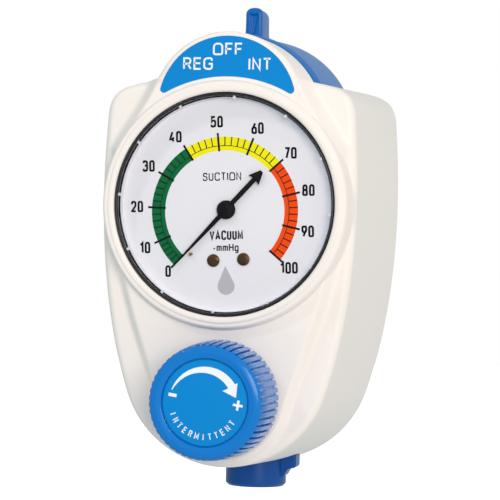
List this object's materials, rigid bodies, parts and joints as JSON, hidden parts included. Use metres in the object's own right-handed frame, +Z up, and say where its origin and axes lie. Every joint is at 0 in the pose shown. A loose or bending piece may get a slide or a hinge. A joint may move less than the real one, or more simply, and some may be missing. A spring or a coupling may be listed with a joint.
{
  "type": "wall-mounted intermittent suction regulator",
  "caption": "Wall-mounted suction regulator with a round vacuum gauge, a domed mode selector with a lever, a fluted regulating knob and a locking outlet collar.",
  "frame": {"origin": "centre of the rear port's mouth, on the housing's rear face", "axes": "+X to the user's right, +Y back into the wall, +Z up; the gauge faces -Y"},
  "size_m": [0.0844, 0.1004, 0.1531],
  "materials": {
    "housing_white": "moulded, satin gloss",
    "control_blue": "moulded, satin gloss",
    "label_blue": "printed film",
    "bezel_black": "satin",
    "lens_clear": "clear",
    "dial_white": "matte print",
    "pointer_black": "matte",
    "brass": "machined",
    "steel": "plated",
    "rubber": "moulded",
    "body_grey": "moulded",
    "tube_clear": "translucent"
  },
  "bodies": {
    "housing": {"front_cover": "housing_white", "back_plate": "housing_white", "legend_plate": "label_blue", "bezel_ring": "bezel_black", "gauge_case": "bezel_black", "gauge_lens": "lens_clear", "gauge_dial": "dial_white", "dial_screw_left": "brass", "dial_screw_right": "brass", "zero_stop_pin": "brass", "hairspring": "brass", "movement_front_plate": "brass", "movement_back_plate": "brass", "movement_pillar_lower": "brass", "movement_pillar_upper": "brass", "bourdon_tube": "brass", "gauge_socket": "brass", "panel_bush": "brass", "valve_seat": "brass", "rear_port": "brass", "outlet_nozzle": "brass", "cover_screw_1": "steel", "cover_screw_2": "steel", "cover_screw_3": "steel", "cover_screw_4": "steel", "rotor_cap": "steel", "detent_spring": "steel", "regulating_spring": "steel", "poppet_spring": "steel", "manifold_screw_left": "steel", "manifold_screw_right": "steel", "inlet_filter": "steel", "collar_clip": "steel", "lens_gasket": "rubber", "diaphragm": "rubber", "outlet_o_ring": "rubber", "spring_bonnet": "body_grey", "manifold_block": "body_grey", "timer_body": "body_grey", "timing_chamber": "body_grey", "timer_tube": "tube_clear"},
    "selector": {"selector_lever": "control_blue", "selector_spindle": "steel", "selector_rotor": "body_grey", "rotor_o_ring": "rubber"},
    "knob": {"regulating_knob": "control_blue", "knob_label": "label_blue", "knob_screw": "steel", "regulating_screw": "steel"},
    "carrier": {"spring_carrier": "brass"},
    "valve": {"valve_poppet": "rubber", "diaphragm_plate": "steel"},
    "sector": {"sector_gear": "brass"},
    "link": {"sector_link": "brass"},
    "pointer": {"gauge_pointer": "pointer_black", "pointer_arbor": "brass"},
    "collar": {"lock_collar": "control_blue"},
    "on_needle": {"on_time_needle": "brass"},
    "off_needle": {"off_time_needle": "brass"}
  },
  "joints": [
    {"name": "selector_turn", "type": "hinge", "parent": "housing", "child": "selector", "pos_m": [0, -0.05, 0.0245], "axis": [0, 1, 0], "range_deg": [-30, 30], "deforming": ["detent_spring"]},
    {"name": "knob_turn", "type": "hinge", "parent": "housing", "child": "knob", "pos_m": [0, -0.09, -0.0581], "axis": [0, 1, 0], "range_deg": [0, 720]},
    {"name": "carrier_slide", "type": "slide", "parent": "housing", "child": "carrier", "axis": [0, 1, 0], "range_m": [0, 0.0021], "deforming": ["regulating_spring"]},
    {"name": "valve_lift", "type": "slide", "parent": "housing", "child": "valve", "axis": [0, 1, 0], "range_m": [0, 0.0008], "stiffness_N_per_m": 400, "deforming": ["poppet_spring", "diaphragm"]},
    {"name": "sector_turn", "type": "hinge", "parent": "housing", "child": "sector", "pos_m": [0.012, -0.067, -0.0015], "axis": [0, 1, 0], "range_deg": [-53.58, 0], "deforming": ["bourdon_tube"]},
    {"name": "pointer_turn", "type": "hinge", "parent": "housing", "child": "pointer", "pos_m": [0, -0.07, -0.0015], "axis": [0, 1, 0], "range_deg": [0, 267.9], "deforming": ["hairspring"]},
    {"name": "link_turn", "type": "hinge", "parent": "sector", "child": "link", "pos_m": [0.01486, -0.0655, -0.00294], "axis": [0, 1, 0], "range_deg": [0, 53.6]},
    {"name": "collar_turn", "type": "hinge", "parent": "housing", "child": "collar", "pos_m": [0, -0.018, -0.085], "axis": [0, 0, 1], "range_deg": [0, 45]},
    {"name": "on_time_turn", "type": "hinge", "parent": "housing", "child": "on_needle", "pos_m": [-0.026, -0.01, -0.016], "axis": [0, 1, 0], "range_deg": [-360, 360]},
    {"name": "off_time_turn", "type": "hinge", "parent": "housing", "child": "off_needle", "pos_m": [-0.026, -0.01, -0.036], "axis": [0, 1, 0], "range_deg": [-360, 360]}
  ],
  "couplings": [
    {"joint": "carrier_slide", "follows": "knob_turn", "m_per_rad": 0.00015915},
    {"joint": "pointer_turn", "follows": "sector_turn", "ratio": -5},
    {"joint": "link_turn", "follows": "sector_turn", "ratio": -1}
  ]
}
